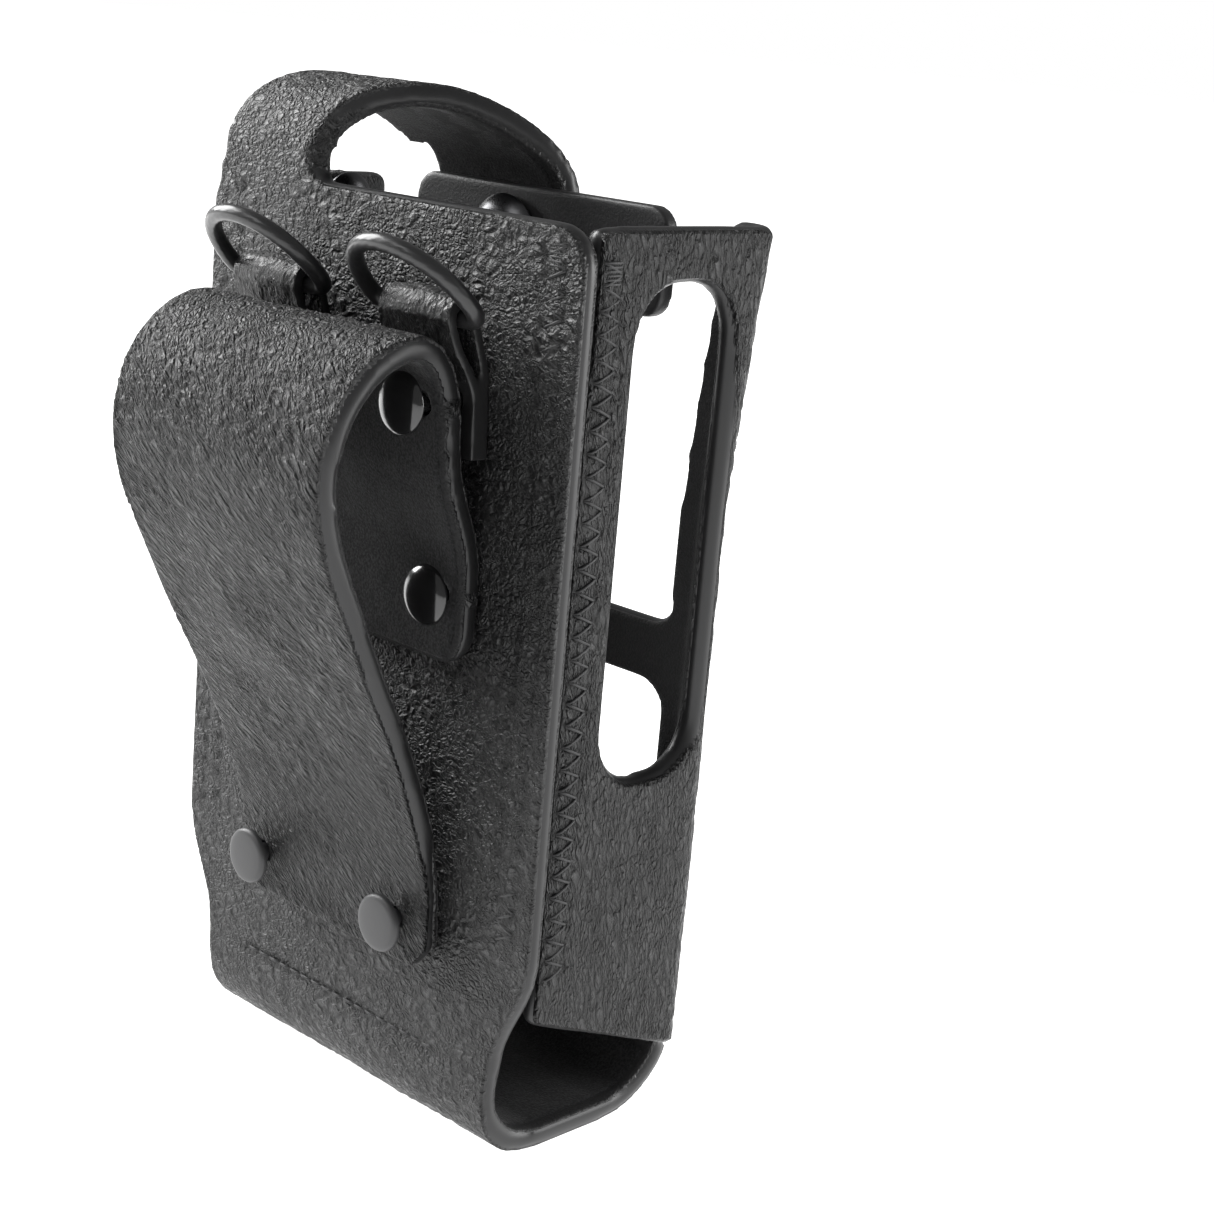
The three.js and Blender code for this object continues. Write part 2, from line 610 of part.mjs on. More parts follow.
place("back_panel", backPanel(), leather);
place("back_lining", backLining(), felt);
place("front_wrap", frontWrap(), leather);
place("side_rivet", sideRivet(), glossCap);
place("front_tee", frontTee(), edgePaint);
place("tee_snap_post", teeSnapPost(), steel);
place("tee_snap_stud", teeSnapStud(), steel);
place("retaining_strap", retainingStrap(), leather);
place("strap_lining", strapLining(), felt);
place("strap_snap_cap", strapSnapCap(), mattCap);
place("strap_snap_socket", strapSnapSocket(), steel);
place("belt_loop", beltLoop(), leather);
place("belt_loop_lining", beltLoopLining(), felt);
for (const rivet of rivets) {
  place(rivet.name, wallRivet(rivet), rivet.domed ? glossCap : mattCap);
}
for (const [hand, side] of [["left", 1], ["right", -1]]) {
  place(`ring_tab_${hand}`, ringTab(side * TAB_X), leather);
  const swing = new THREE.Group();
  swing.position.set(RING_X[hand], RING_BAR.y, RING_BAR.z);
  swing.rotation.x = -RING_LEAN;
  body.add(swing);
  place(`d_ring_${hand}`, dRing(), ringBlack, swing);
  place(`seam_thread_${hand}_back`, backRow(side), thread);
  place(`seam_thread_${hand}_side`, sideRow(side), thread);
}
const threadLift = THREAD_R + CLEAR;
const frontRowY = -FRONT_FACE - threadLift;
place("foot_thread", straightRow(-21.5, 22.3, threadLift, 14.6), thread);
place("front_seam_thread", straightRow(-30, 30, frontRowY, 13.4), thread);
place("tee_thread", straightRow(-6.5, 6.5, frontRowY, 70.5), thread);

export default part;
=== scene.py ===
import itertools
import math

import bpy
import numpy as np
from mathutils import Matrix, Vector
from mathutils.bvhtree import BVHTree


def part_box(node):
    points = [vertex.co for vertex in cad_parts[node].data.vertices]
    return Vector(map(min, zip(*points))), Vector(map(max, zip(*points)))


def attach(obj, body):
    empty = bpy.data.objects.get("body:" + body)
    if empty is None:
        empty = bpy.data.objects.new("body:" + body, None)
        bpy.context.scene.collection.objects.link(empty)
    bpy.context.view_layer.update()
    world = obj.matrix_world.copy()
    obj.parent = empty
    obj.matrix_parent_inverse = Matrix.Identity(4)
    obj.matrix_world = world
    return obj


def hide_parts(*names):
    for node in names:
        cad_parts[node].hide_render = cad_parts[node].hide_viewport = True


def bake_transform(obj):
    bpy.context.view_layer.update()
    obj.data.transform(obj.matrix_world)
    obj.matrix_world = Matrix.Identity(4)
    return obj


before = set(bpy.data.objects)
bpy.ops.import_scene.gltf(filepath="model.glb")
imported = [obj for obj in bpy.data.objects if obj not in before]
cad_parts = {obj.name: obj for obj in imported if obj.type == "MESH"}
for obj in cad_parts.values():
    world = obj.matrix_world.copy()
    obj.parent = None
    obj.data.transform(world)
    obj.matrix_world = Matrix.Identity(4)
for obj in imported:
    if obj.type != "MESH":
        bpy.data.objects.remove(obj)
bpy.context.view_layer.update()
MM = 0.001

# ---- Camera ----
# A short portrait lens looks down a little on the back of the case, from the side with the long slot.
# It is turned slightly about its own axis, so the case seems to lean.
EYE = Vector((-0.2320, 0.2146, 0.1569))
YAW = math.radians(46.87)
PITCH = math.radians(14.61)
ROLL = math.radians(-5.10)
LENS = 65.1

forward = Vector(
    (math.cos(YAW) * math.cos(PITCH), -math.sin(YAW) * math.cos(PITCH), -math.sin(PITCH))
)
level_right = forward.cross(Vector((0, 0, 1))).normalized()
level_down = forward.cross(level_right)
right = level_right * math.cos(ROLL) + level_down * math.sin(ROLL)
down = level_down * math.cos(ROLL) - level_right * math.sin(ROLL)
turned = Matrix((right, -down, -forward)).transposed().to_4x4()
camera_data = bpy.data.cameras.new("camera")
camera_data.lens = LENS
camera_data.sensor_width = 36
camera_data.clip_start = 0.01
camera = bpy.data.objects.new("camera", camera_data)
camera.matrix_world = Matrix.Translation(EYE) @ turned
bpy.context.scene.collection.objects.link(camera)
bpy.context.scene.camera = camera

# ---- Floor and studio light ----
# A white floor and a white surround, as in a light tent. A broad lamp stands high on the closed side,
# a weaker one low in front of the slotted wall, and a faint one high behind the belt loop.
FLOOR_SIDE = 40.0
FLOOR_DROP = 0.3 * MM
FLOOR_GLOW = 1.25
TENT_LIGHT = 0.28
LAMP_AIM = Vector((0, 0, 0.08))


def deselect():
    bpy.ops.object.select_all(action="DESELECT")


deselect()
bpy.ops.mesh.primitive_plane_add(size=FLOOR_SIDE, location=(0, 0, -FLOOR_DROP))
floor = bpy.context.object
floor.name = "floor"
floor_paint = bpy.data.materials.new("floor_paint")
floor_paint.use_nodes = True
floor_shader = floor_paint.node_tree.nodes["Principled BSDF"]
floor_shader.inputs["Base Color"].default_value = (0.6, 0.6, 0.6, 1)
floor_shader.inputs["Roughness"].default_value = 0.9
floor_shader.inputs["Specular IOR Level"].default_value = 0.1
floor_shader.inputs["Emission Color"].default_value = (1, 1, 1, 1)
floor_shader.inputs["Emission Strength"].default_value = FLOOR_GLOW
floor.data.materials.append(floor_paint)

world = bpy.data.worlds.new("light_tent")
world.use_nodes = True
tent = world.node_tree
tent.nodes["Background"].inputs["Color"].default_value = (1, 1, 1, 1)
seen = tent.nodes.new("ShaderNodeLightPath").outputs["Is Camera Ray"]
strength = tent.nodes.new("ShaderNodeMapRange")
strength.inputs["To Min"].default_value = TENT_LIGHT
strength.inputs["To Max"].default_value = 1.0
tent.links.new(seen, strength.inputs["Value"])
tent.links.new(strength.outputs["Result"], tent.nodes["Background"].inputs["Strength"])
bpy.context.scene.world = world
bpy.context.scene.view_settings.view_transform = "Standard"


def soft_light(name, place, size, watts):
    data = bpy.data.lights.new(name, "AREA")
    data.shape = "SQUARE"
    data.size = size
    data.energy = watts
    light = bpy.data.objects.new(name, data)
    turn = (LAMP_AIM - Vector(place)).to_track_quat("-Z", "Y")
    light.matrix_world = Matrix.Translation(place) @ turn.to_matrix().to_4x4()
    bpy.context.scene.collection.objects.link(light)


soft_light("key", (1.00, 0.30, 0.66), 0.80, 24)
soft_light("side", (-0.75, -0.85, 0.30), 0.60, 8)
soft_light("back", (0.15, 0.95, 0.95), 0.50, 2.5)

# ---- Leather ----
# Every leather part is a grain hide backed with felt. The cut edges of the pair are sanded round
# and painted together, so the painted band is as wide as both plies.
HIDE = 2.4 * MM
EDGE_PLY = 3.4 * MM  # hide and the felt's base, as they show on a painted edge
VOXEL = 0.6 * MM
SHEET_SWELL = 0.25 * MM  # before the remesh, so that thin spots hold
SHEET_SHRINK = 0.15 * MM
SHEET_REST = 0.05 * MM  # makes up for what smoothing takes off


def use(piece):
    deselect()
    piece.select_set(True)
    bpy.context.view_layer.objects.active = piece


def smooth_shade(piece):
    use(piece)
    bpy.ops.object.shade_smooth()


def add_piece(name, mesh):
    piece = bpy.data.objects.new(name, mesh)
    bpy.context.scene.collection.objects.link(piece)
    return piece


def copy_of(name, *nodes):
    """One new piece from copies of CAD nodes, with their loose triangles merged."""
    copies = [add_piece(name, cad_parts[node].data.copy()) for node in nodes]
    deselect()
    for copy in copies:
        copy.select_set(True)
    bpy.context.view_layer.objects.active = copies[0]
    if len(copies) > 1:
        bpy.ops.object.join()
    bpy.ops.object.mode_set(mode="EDIT")
    bpy.ops.mesh.select_all(action="SELECT")
    bpy.ops.mesh.remove_doubles(threshold=0.01 * MM)
    bpy.ops.object.mode_set(mode="OBJECT")
    piece = bpy.context.object
    piece.data.materials.clear()
    return piece


def finish_with(piece, kind, **settings):
    """Adds a modifier with these settings and applies it."""
    use(piece)
    modifier = piece.modifiers.new(kind.lower(), kind)
    for key, value in settings.items():
        setattr(modifier, key, value)
    bpy.ops.object.modifier_apply(modifier=modifier.name)


def remesh(piece, voxel):
    finish_with(piece, "REMESH", mode="VOXEL", voxel_size=voxel, adaptivity=0)


def swell(piece, distance):
    finish_with(piece, "DISPLACE", strength=distance, mid_level=0, direction="NORMAL")


def spots_of(piece):
    """The points and their normals, as two arrays."""
    count = len(piece.data.vertices)
    spots = np.empty(count * 3, np.float32)
    normals = np.empty(count * 3, np.float32)
    piece.data.vertices.foreach_get("co", spots)
    piece.data.vertex_normals.foreach_get("vector", normals)
    return spots.reshape(-1, 3).astype(float), normals.reshape(-1, 3).astype(float)


def place_points(piece, spots):
    piece.data.vertices.foreach_set("co", spots.astype(np.float32).ravel())
    piece.data.update()


def push(piece, distance):
    """Moves each point along its normal by its own distance."""
    spots, normals = spots_of(piece)
    place_points(piece, spots + normals * np.asarray(distance)[:, None])


def ramp(value, low, high):
    share = np.clip((value - low) / (high - low), 0, 1)
    return share * share * (3 - 2 * share)


SCATTER_MIX = np.array(((12.99, 39.35, 73.16), (78.23, 11.14, 52.24), (37.72, 83.16, 9.15)))


def scatter(cell, seed):
    """Three random numbers for each whole-numbered cell, the same on every run."""
    stirred = cell @ SCATTER_MIX + seed * 17.13
    return np.modf(np.abs(np.sin(stirred) * 43758.5453))[0]


def drift(spots, size, seed=1):
    """Smooth noise from -1 to 1 in three directions, with features of about this size."""
    scaled = spots / size
    base = np.floor(scaled)
    part = scaled - base
    part = part * part * (3 - 2 * part)
    total = np.zeros_like(spots)
    for corner in itertools.product((0, 1), repeat=3):
        weight = np.prod(np.where(np.array(corner) == 1, part, 1 - part), axis=1)
        total += weight[:, None] * scatter(base + np.array(corner), seed)
    return total * 2 - 1


def crackle(spots, size, seed=1):
    """0 on the creases between cells of about this size, rising to 1 on top of each cell."""
    scaled = spots / np.array(size)
    base = np.floor(scaled)
    first = np.full(len(spots), 9.0)
    second = np.full(len(spots), 9.0)
    for step in itertools.product((-1, 0, 1), repeat=3):
        cell = base + np.array(step)
        distance = np.linalg.norm(cell + scatter(cell, seed) - scaled, axis=1)
        second = np.minimum(second, np.maximum(first, distance))
        first = np.minimum(first, distance)
    return ramp(second - first, 0.0, 0.45)


def toward_core(spots):
    """Direction from a wall towards the middle of the pocket, where the felt side faces."""
    low = np.array((-30, -10, 20)) * MM
    high = np.array((30, 10, 128)) * MM
    away = np.clip(spots, low, high) - spots
    return away / np.maximum(np.linalg.norm(away, axis=1), 1e-9)[:, None]


def round_sheet(piece, voxel=VOXEL, flesh=toward_core, grow=EDGE_PLY - HIDE, rounds=7):
    """Turns a flat-cut hide into an even mesh, builds its flesh side out and rounds its edges."""
    swell(piece, SHEET_SWELL)
    remesh(piece, voxel)
    swell(piece, -SHEET_SHRINK)
    if grow:
        spots, normals = spots_of(piece)
        facing = np.sum(normals * flesh(spots), axis=1)
        push(piece, ramp(facing, 0.3, 0.8) * grow)
        remesh(piece, voxel)
    finish_with(piece, "SMOOTH", factor=0.5, iterations=rounds)
    swell(piece, SHEET_REST)


def even_out(piece, values, rounds):
    """Averages a value, or a place, over each point's neighbours, a number of times."""
    ends = np.empty(len(piece.data.edges) * 2, np.int32)
    piece.data.edges.foreach_get("vertices", ends)
    first, second = ends.reshape(-1, 2).T
    count = len(piece.data.vertices)
    neighbours = np.bincount(first, minlength=count) + np.bincount(second, minlength=count)
    columns = []
    for column in np.atleast_2d(values.T):
        for _ in range(rounds):
            total = np.bincount(first, weights=column[second], minlength=count)
            total += np.bincount(second, weights=column[first], minlength=count)
            column = (column + total / np.maximum(neighbours, 1)) / 2
        columns.append(column)
    return np.stack(columns, axis=-1).reshape(values.shape)


def store(piece, name, values):
    attribute = piece.data.attributes.new(name, "FLOAT", "POINT")
    attribute.data.foreach_set("value", values.astype(np.float32))


def mark_edges(piece, ply=EDGE_PLY, rounds=14, flesh=toward_core):
    """Stores the painted edge, where the way through is longer than the ply, and the flesh side.

    Sands the edges smooth, and returns how far each point is on the grain side.
    """
    spots, normals = spots_of(piece)
    tree = BVHTree.FromPolygons(
        [tuple(s) for s in spots], [tuple(p.vertices) for p in piece.data.polygons]
    )
    through = np.full(len(spots), 1.0)
    for i, (spot, normal) in enumerate(zip(spots, normals)):
        inward = Vector(-normal)
        hit = tree.ray_cast(Vector(spot) + inward * 0.05 * MM, inward)
        if hit[3] is not None:
            through[i] = hit[3]
    paint = even_out(piece, ramp(through / ply, 1.08, 1.35), 4)
    paint = ramp(paint, 0.15, 0.6)
    sanded = even_out(piece, spots, rounds)
    place_points(piece, spots + (sanded - spots) * paint[:, None])
    under = np.zeros(len(spots))
    if flesh:
        under = even_out(piece, ramp(np.sum(normals * flesh(spots), axis=1), 0.2, 0.6), 3)
    store(piece, "paint", paint)
    store(piece, "flesh", under * (1 - paint))
    return (1 - ramp(even_out(piece, paint, 6), 0.0, 0.5)) * (1 - under)


def wrinkle(piece, skin, cell, depth, roll=0.15 * MM, seed=1, warp=2.2, lean=0):
    """Presses creases into the grain and lets the hide wander a little, away from painted edges."""
    spots, _ = spots_of(piece)
    warped = spots + drift(spots, 5 * MM, seed) * warp * MM + drift(spots, 2 * MM, seed + 2) * 0.5 * MM
    tilt = Matrix.Rotation(math.radians(lean), 3, "Y")
    warped = warped @ np.array(tilt)
    strong = ramp(drift(spots, 7 * MM, seed + 3)[:, 1], -0.6, 0.5)
    creases = (crackle(warped, np.array(cell) * MM, seed) - 1) * (0.25 + 0.75 * strong)
    wander = drift(spots, 11 * MM, seed + 5)[:, 0]
    push(piece, (creases * depth + wander * roll) * skin)


def new_group(name, inputs, outputs):
    group = bpy.data.node_groups.new(name, "ShaderNodeTree")
    for label, kind in inputs:
        group.interface.new_socket(label, in_out="INPUT", socket_type=kind)
    for label, kind in outputs:
        group.interface.new_socket(label, in_out="OUTPUT", socket_type=kind)
    start = group.nodes.new("NodeGroupInput")
    end = group.nodes.new("NodeGroupOutput")
    return group, start, end


def maths(tree, operation, first, second=None, third=None):
    node = tree.nodes.new("ShaderNodeMath")
    node.operation = operation
    for socket, value in zip(node.inputs, (first, second, third)):
        if isinstance(value, (int, float)):
            socket.default_value = value
        elif value is not None:
            tree.links.new(value, socket)
    return node.outputs[0]


def spread_out(tree, value, low, high):
    node = tree.nodes.new("ShaderNodeMapRange")
    node.interpolation_type = "SMOOTHSTEP"
    node.inputs["From Min"].default_value = low
    node.inputs["From Max"].default_value = high
    tree.links.new(value, node.inputs["Value"])
    return node.outputs["Result"]


def noise(tree, vector, scale, detail):
    node = tree.nodes.new("ShaderNodeTexNoise")
    node.inputs["Scale"].default_value = scale
    node.inputs["Detail"].default_value = detail
    tree.links.new(vector, node.inputs["Vector"])
    return node


def cells(tree, vector, scale):
    node = tree.nodes.new("ShaderNodeTexVoronoi")
    node.feature = "DISTANCE_TO_EDGE"
    node.inputs["Scale"].default_value = scale
    tree.links.new(vector, node.inputs["Vector"])
    return node.outputs["Distance"]


def mix_colour(tree, share, first, second):
    node = tree.nodes.new("ShaderNodeMix")
    node.data_type = "RGBA"
    sockets = {s.identifier: s for s in node.inputs}
    for key, value in (("A_Color", first), ("B_Color", second)):
        if isinstance(value, tuple):
            sockets[key].default_value = value
        else:
            tree.links.new(value, sockets[key])
    tree.links.new(share, sockets["Factor_Float"])
    return next(s for s in node.outputs if s.identifier == "Result_Color")


def mix_value(tree, share, first, second):
    node = tree.nodes.new("ShaderNodeMix")
    node.data_type = "FLOAT"
    sockets = {s.identifier: s for s in node.inputs}
    for key, value in (("A_Float", first), ("B_Float", second)):
        if isinstance(value, (int, float)):
            sockets[key].default_value = value
        else:
            tree.links.new(value, sockets[key])
    tree.links.new(share, sockets["Factor_Float"])
    return next(s for s in node.outputs if s.identifier == "Result_Float")


def moved(tree, vector, drifted, amount):
    """The vector, led astray by a coloured noise."""
    centred = tree.nodes.new("ShaderNodeVectorMath")
    centred.operation = "SUBTRACT"
    centred.inputs[1].default_value = (0.5, 0.5, 0.5)
    tree.links.new(drifted, centred.inputs[0])
    shift = tree.nodes.new("ShaderNodeVectorMath")
    shift.operation = "SCALE"
    tree.links.new(centred.outputs[0], shift.inputs[0])
    tree.links.new(amount, shift.inputs["Scale"])
    total = tree.nodes.new("ShaderNodeVectorMath")
    total.operation = "ADD"
    tree.links.new(vector, total.inputs[0])
    tree.links.new(shift.outputs[0], total.inputs[1])
    return total.outputs[0]


def pebble_group():
    """Crumpled grain: puffy cells in two sizes that give way to each other, folds, and a fine tooth."""
    group, start, end = new_group(
        "pebbled_grain",
        [("Vector", "NodeSocketVector"), ("Warp", "NodeSocketFloat")],
        [("Height", "NodeSocketFloat"), ("Crease", "NodeSocketFloat"), ("Mottle", "NodeSocketFloat")],
    )
    vector = start.outputs["Vector"]
    bent = moved(group, vector, noise(group, vector, 0.5, 4).outputs["Color"], start.outputs["Warp"])
    large = spread_out(group, cells(group, bent, 0.8), 0.0, 0.3)
    small = spread_out(group, cells(group, bent, 1.9), 0.0, 0.26)
    patch = spread_out(group, noise(group, vector, 0.28, 2).outputs["Fac"], 0.38, 0.62)
    puffs = mix_value(group, patch, large, small)
    waves = noise(group, bent, 0.9, 5).outputs["Fac"]
    folded = maths(group, "ABSOLUTE", maths(group, "MULTIPLY_ADD", waves, 2.0, -1.0))
    folds = spread_out(group, folded, 0.0, 0.16)
    tooth = noise(group, bent, 6, 3).outputs["Fac"]
    height = maths(group, "MULTIPLY_ADD", puffs, 0.46, maths(group, "MULTIPLY", folds, 0.34))
    group.links.new(maths(group, "MULTIPLY_ADD", tooth, 0.2, height), end.inputs["Height"])
    # Crease is high in the folds and the gaps between cells; the leather paints shade there and makes it
    # rougher.
    crease = maths(group, "SUBTRACT", 1.0, maths(group, "MULTIPLY", puffs, folds))
    group.links.new(crease, end.inputs["Crease"])
    mottle = noise(group, vector, 0.12, 4).outputs["Fac"]
    group.links.new(spread_out(group, mottle, 0.3, 0.7), end.inputs["Mottle"])
    return group


pebbles = pebble_group()


def grey(value):
    return (value, value, value * 1.04, 1)


def new_material(name):
    material = bpy.data.materials.new(name)
    material.use_nodes = True
    tree = material.node_tree
    shader = tree.nodes["Principled BSDF"]
    place = tree.nodes.new("ShaderNodeTexCoord").outputs["Object"]
    return material, tree, shader, place


def scaled_place(tree, place, cell, turn=(0, 0, 0)):
    """Object coordinates, turned and then counted in cells of this many millimetres."""
    mapping = tree.nodes.new("ShaderNodeMapping")
    mapping.vector_type = "TEXTURE"
    mapping.inputs["Rotation"].default_value = tuple(math.radians(a) for a in turn)
    mapping.inputs["Scale"].default_value = tuple(c * MM for c in cell)
    tree.links.new(place, mapping.inputs["Vector"])
    return mapping.outputs["Vector"]


def bump(tree, shader, height, distance):
    node = tree.nodes.new("ShaderNodeBump")
    node.inputs["Distance"].default_value = distance
    tree.links.new(height, node.inputs["Height"])
    tree.links.new(node.outputs["Normal"], shader.inputs["Normal"])


NAP_CELL = (0.35, 0.35, 0.35)


def leather_material(name, cell, turn=(0, 0, 0), warp=1.2, relief=0.7, tone=0.009, rough=0.32):
    """Black grain hide with painted edges, and painted shade darkening its creases. cell is the size of a
    pebble along X, Y and Z.
    """
    material, tree, shader, place = new_material(name)
    grain = tree.nodes.new("ShaderNodeGroup")
    grain.node_tree = pebbles
    grain.inputs["Warp"].default_value = warp
    tree.links.new(scaled_place(tree, place, cell, turn), grain.inputs["Vector"])
    edge = tree.nodes.new("ShaderNodeAttribute")
    edge.attribute_name = "paint"
    on_edge = edge.outputs["Fac"]
    hide = mix_colour(tree, grain.outputs["Mottle"], grey(tone * 0.8), grey(tone * 1.2))
    # Painted shade: the hide's colour is darkened in the creases between pebbles and along the folds.
    hide = mix_colour(tree, grain.outputs["Crease"], hide, grey(tone * 0.35))
    under = tree.nodes.new("ShaderNodeAttribute")
    under.attribute_name = "flesh"
    nap = noise(tree, scaled_place(tree, place, NAP_CELL), 1.0, 4).outputs["Fac"]
    napped = mix_colour(tree, nap, grey(0.004), grey(0.022))
    hide = mix_colour(tree, under.outputs["Fac"], hide, napped)
    tree.links.new(mix_colour(tree, on_edge, hide, grey(0.012)), shader.inputs["Base Color"])
    dull = maths(tree, "MULTIPLY_ADD", grain.outputs["Crease"], 0.22, rough)
    dull = mix_value(tree, under.outputs["Fac"], dull, 0.85)
    tree.links.new(mix_value(tree, on_edge, dull, 0.38), shader.inputs["Roughness"])
    low_nap = maths(tree, "MULTIPLY", nap, 0.2)
    height = mix_value(tree, under.outputs["Fac"], grain.outputs["Height"], low_nap)
    height = maths(tree, "MULTIPLY", height, maths(tree, "SUBTRACT", 1.0, on_edge))
    bump(tree, shader, height, relief * MM)
    return material


# ---- Back wall, foot and strap ----
# One long hide makes the back wall, folds under as the foot, and runs on over the top as the strap.
# The strap's outer edge is trimmed straight to its front end and drawn in where it leaves the wall.
WALL_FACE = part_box("seam_thread_left_back")[0].y - 0.3 * MM
SIDE_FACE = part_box("seam_thread_left_side")[0].x - 0.3 * MM
STITCH_RISE = 1.55 * MM
STITCH_HALF = 1.7 * MM


def zigzag_holes(node):
    """The needle holes of a zigzag seam, on the face of the leather that the node's thread lies on."""
    low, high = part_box(node)
    middle = (low + high) / 2
    count = round((high.z - low.z) / STITCH_RISE)
    holes = []
    for i in range(count + 1):
        across = STITCH_HALF if i % 2 == 0 else -STITCH_HALF
        z = low.z + (high.z - low.z) * i / count
        if node.endswith("_back"):
            holes.append((middle.x + across, WALL_FACE, z))
        else:
            holes.append((math.copysign(SIDE_FACE, middle.x), middle.y + across, z))
    return np.array(holes)


def dent(piece, places, depth, reach):
    """Presses the surface in round each of these places."""
    spots, _ = spots_of(piece)
    pressed = np.zeros(len(spots))
    for place in places:
        near = np.sum((spots - np.array(place)) ** 2, axis=1) / reach**2
        pressed = np.maximum(pressed, np.exp(-near))
    push(piece, -depth * pressed)


def along(start, end, step):
    """Points in a straight row, about this far apart."""
    start, end = np.array(start), np.array(end)
    count = max(1, round(np.linalg.norm(end - start) / step))
    return start + (end - start) * np.linspace(0, 1, count + 1)[:, None]


def foot_seam():
    low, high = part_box("foot_thread")
    z = (low.z + high.z) / 2
    return along((low.x, WALL_FACE, z), (high.x, WALL_FACE, z), 0.6 * MM)


CAPS = [f"loop_rivet_{row}_{hand}" for row in ("upper", "lower") for hand in ("left", "right")]
FOOT_CAPS = ["foot_rivet_left", "foot_rivet_right"]

STRAP_TRIM_FROM = Vector((38.65, -4.75, 145)) * MM
STRAP_TRIM_TO = Vector((23.2, -27.3, 145)) * MM
TRIM_WIDTH = 20 * MM
TRIM_HEIGHT = 40 * MM
SHOULDER_DRAW = 1.6 * MM
SHOULDER_REACH = 6 * MM


def trim_strap(piece, inset):
    """Cuts the strap's outer edge straight to its front end, so that no corner stands out there."""
    run = STRAP_TRIM_FROM - STRAP_TRIM_TO
    angle = math.atan2(run.y, run.x)
    outward = Vector((run.y, -run.x, 0)).normalized()
    deselect()
    bpy.ops.mesh.primitive_cube_add(
        size=1,
        location=(STRAP_TRIM_FROM + STRAP_TRIM_TO) / 2 + outward * (TRIM_WIDTH / 2 - inset),
        rotation=(0, 0, angle),
        scale=(run.length, TRIM_WIDTH, TRIM_HEIGHT),
    )
    cutter = bpy.context.object
    finish_with(piece, "BOOLEAN", operation="DIFFERENCE", object=cutter, solver="EXACT")
    bpy.data.objects.remove(cutter)


def ease_shoulder(piece):
    """Draws in the strap's outer edge where it leaves the wall, so that it runs in one sweep."""
    spots, _ = spots_of(piece)
    near = np.exp(-((spots[:, 1] / SHOULDER_REACH) ** 2))
    near *= ramp(spots[:, 0], 28 * MM, 36 * MM) * ramp(spots[:, 2], 134 * MM, 140 * MM)
    spots[:, 0] -= SHOULDER_DRAW * near
    place_points(piece, spots)


wall_leather = leather_material("wall_leather", (1.9, 1.9, 1.5))
back = copy_of("back_and_strap", "back_panel", "retaining_strap")
trim_strap(back, 0)
round_sheet(back)
ease_shoulder(back)
skin = mark_edges(back)
wrinkle(back, skin, (2.6, 2.6, 2.3), 0.16 * MM)
for hand in ("left", "right"):
    dent(back, zigzag_holes(f"seam_thread_{hand}_back"), 0.4 * MM, 0.8 * MM)
dent(back, foot_seam(), 0.3 * MM, 0.8 * MM)
back.data.materials.append(wall_leather)
smooth_shade(back)
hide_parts("back_panel", "retaining_strap")
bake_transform(back)

# ---- Front wrap ----
# One hide makes both side walls, the front stiles with the crossbar, and the front panel.
# It is stitched to the back wall; the long slot shows the radio's side keys.
side_leather = leather_material("side_leather", (1.6, 1.2, 3.0), turn=(-14, 0, 0), relief=1.1)
wrap = copy_of("side_and_front_wrap", "front_wrap")
round_sheet(wrap)
skin = mark_edges(wrap)
wrinkle(wrap, skin, (2.6, 2.6, 5.0), 0.22 * MM, seed=3, warp=3.0)
for hand in ("left", "right"):
    dent(wrap, zigzag_holes(f"seam_thread_{hand}_side"), 0.45 * MM, 0.8 * MM)
wrap.data.materials.append(side_leather)
smooth_shade(wrap)
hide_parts("front_wrap")
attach(wrap, "case")

# ---- Belt loop ----
# One broad strip of hide, riveted flat to the wall, rolls outwards at the top and comes down to two
# rivets at its foot. The belt passes between its runs.


def toward_tunnel(spots):
    """Direction from either run of the belt loop towards the middle of the belt's passage."""
    foot = np.array((0, 20, 50)) * MM
    top = np.array((0, 34, 102)) * MM
    line = top - foot
    flat = spots * np.array((0, 1, 1))
    share = np.clip((flat - foot) @ line / (line @ line), 0, 1)
    away = foot + share[:, None] * line - flat
    return away / np.maximum(np.linalg.norm(away, axis=1), 1e-9)[:, None]


loop_leather = leather_material("loop_leather", (3.6, 1.5, 1.0), turn=(0, -38, 0), relief=1.3)
loop = copy_of("belt_loop_strap", "belt_loop")
round_sheet(loop, voxel=0.5 * MM, flesh=toward_tunnel, grow=0.9 * MM)
skin = mark_edges(loop, 3.2 * MM, flesh=toward_tunnel)
wrinkle(loop, skin, (4.6, 2.4, 1.7), 0.26 * MM, seed=7, lean=-38)
loop.data.materials.append(loop_leather)
smooth_shade(loop)
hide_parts("belt_loop")
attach(loop, "case")

# ---- Felt linings ----
# Short black felt is glued over the flesh side of the back wall, the strap and the belt loop.
# It stops just inside the painted edge.


def felt_material():
    material, tree, shader, place = new_material("felt_nap")
    nap = noise(tree, scaled_place(tree, place, NAP_CELL), 1.0, 5).outputs["Fac"]
    share = spread_out(tree, nap, 0.3, 0.75)
    tree.links.new(mix_colour(tree, share, grey(0.007), grey(0.03)), shader.inputs["Base Color"])
    shader.inputs["Roughness"].default_value = 0.95
    shader.inputs["Specular IOR Level"].default_value = 0.15
    shader.inputs["Sheen Weight"].default_value = 0.12
    shader.inputs["Sheen Roughness"].default_value = 0.5
    bump(tree, shader, nap, 0.12 * MM)
    return material


felt_nap = felt_material()


def felt(name, node, voxel=0.55 * MM):
    piece = copy_of(name, node)
    if node == "strap_lining":
        trim_strap(piece, 1.2 * MM)
    remesh(piece, voxel)
    finish_with(piece, "SMOOTH", factor=0.5, iterations=4)
    spots, _ = spots_of(piece)
    push(piece, drift(spots, 2.5 * MM, 11)[:, 0] * 0.05 * MM)
    piece.data.materials.append(felt_nap)
    smooth_shade(piece)
    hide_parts(node)
    return piece


